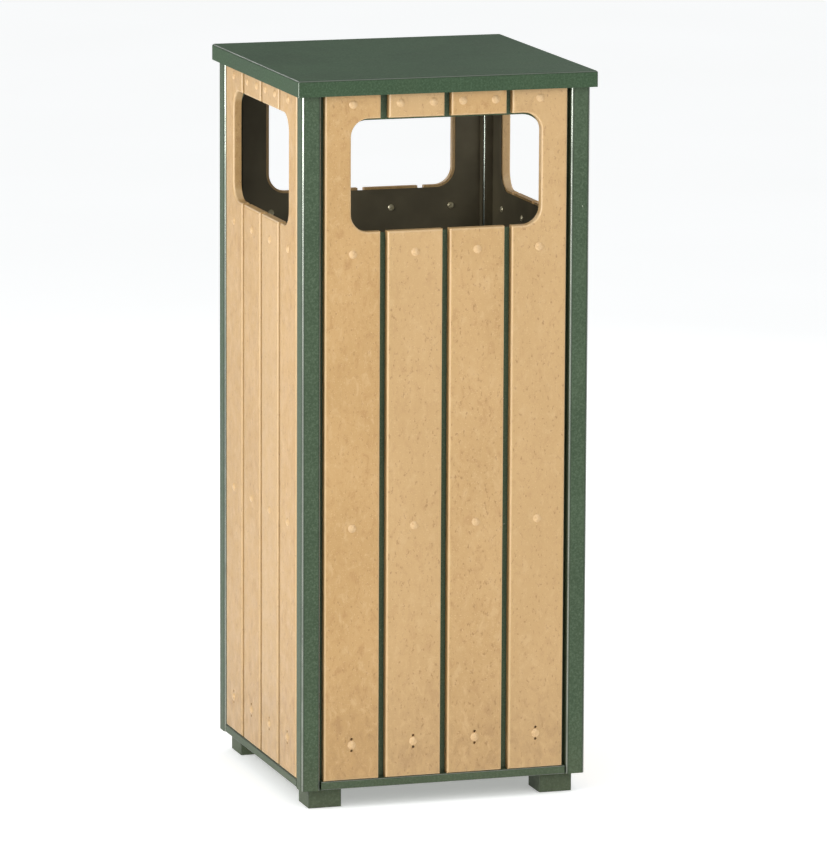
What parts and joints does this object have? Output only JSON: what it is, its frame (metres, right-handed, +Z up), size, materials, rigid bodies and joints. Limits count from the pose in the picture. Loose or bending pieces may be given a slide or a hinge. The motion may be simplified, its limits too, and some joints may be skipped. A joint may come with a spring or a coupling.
{
  "type": "litter bin",
  "caption": "Square free-standing litter bin with riveted plastic slats on a steel frame, a hooded opening in each side, a rear-hinged lid and a lift-out liner.",
  "frame": {"origin": "on the ground under the centre of the bin", "axes": "+Z up, the front faces -Y, +X to the right of someone facing the front"},
  "size_m": [0.343, 0.344, 0.8128],
  "materials": {
    "frame_green": "satin powder coat",
    "lid_green": "satin powder coat, fine orange peel",
    "panel_green": "satin powder coat",
    "foot_green": "satin powder coat",
    "slat_plastic": "speckled recycled plastic, satin",
    "rivet_tan": "satin",
    "liner_plastic": "satin moulded plastic",
    "pin_steel": "bright zinc"
  },
  "bodies": {
    "frame": {"base_pan": "panel_green", "bottom_rail_front": "frame_green", "bottom_rail_left": "frame_green", "bottom_rail_rear": "frame_green", "bottom_rail_right": "frame_green", "foot_front_left": "foot_green", "foot_front_right": "foot_green", "foot_rear_left": "foot_green", "foot_rear_right": "foot_green", "hinge_leaf_frame": "frame_green", "hinge_pin": "pin_steel", "hinge_rivets_frame": "frame_green", "panel_front": "panel_green", "panel_left": "panel_green", "panel_rear": "panel_green", "panel_right": "panel_green", "post_front_left": "frame_green", "post_front_right": "frame_green", "post_rear_left": "frame_green", "post_rear_right": "frame_green", "slat_front_1": "slat_plastic", "slat_front_2_lower": "slat_plastic", "slat_front_2_upper": "slat_plastic", "slat_front_3_lower": "slat_plastic", "slat_front_3_upper": "slat_plastic", "slat_front_4": "slat_plastic", "slat_left_1": "slat_plastic", "slat_left_2_lower": "slat_plastic", "slat_left_2_upper": "slat_plastic", "slat_left_3_lower": "slat_plastic", "slat_left_3_upper": "slat_plastic", "slat_left_4": "slat_plastic", "slat_rear_1": "slat_plastic", "slat_rear_2_lower": "slat_plastic", "slat_rear_2_upper": "slat_plastic", "slat_rear_3_lower": "slat_plastic", "slat_rear_3_upper": "slat_plastic", "slat_rear_4": "slat_plastic", "slat_right_1": "slat_plastic", "slat_right_2_lower": "slat_plastic", "slat_right_2_upper": "slat_plastic", "slat_right_3_lower": "slat_plastic", "slat_right_3_upper": "slat_plastic", "slat_right_4": "slat_plastic", "slat_rivets_front": "rivet_tan", "slat_rivets_left": "rivet_tan", "slat_rivets_rear": "rivet_tan", "slat_rivets_right": "rivet_tan", "top_rail_front": "frame_green", "top_rail_left": "frame_green", "top_rail_rear": "frame_green", "top_rail_right": "frame_green"},
    "lid": {"lid": "lid_green", "hinge_leaf_lid": "frame_green", "hinge_rivets_lid": "frame_green"},
    "liner": {"liner": "liner_plastic"}
  },
  "joints": [
    {"name": "lid_hinge", "type": "hinge", "parent": "frame", "child": "lid", "pos_m": [0, 0.16827, 0.7919], "axis": [-1, 0, 0], "range_deg": [0, 170]},
    {"name": "liner_lift", "type": "slide", "parent": "frame", "child": "liner", "axis": [0, 0, 1], "range_m": [0, 0.802]}
  ],
  "couplings": [
    {"joint": "liner_lift", "follows": "lid_hinge", "m_per_rad": 0.27}
  ]
}
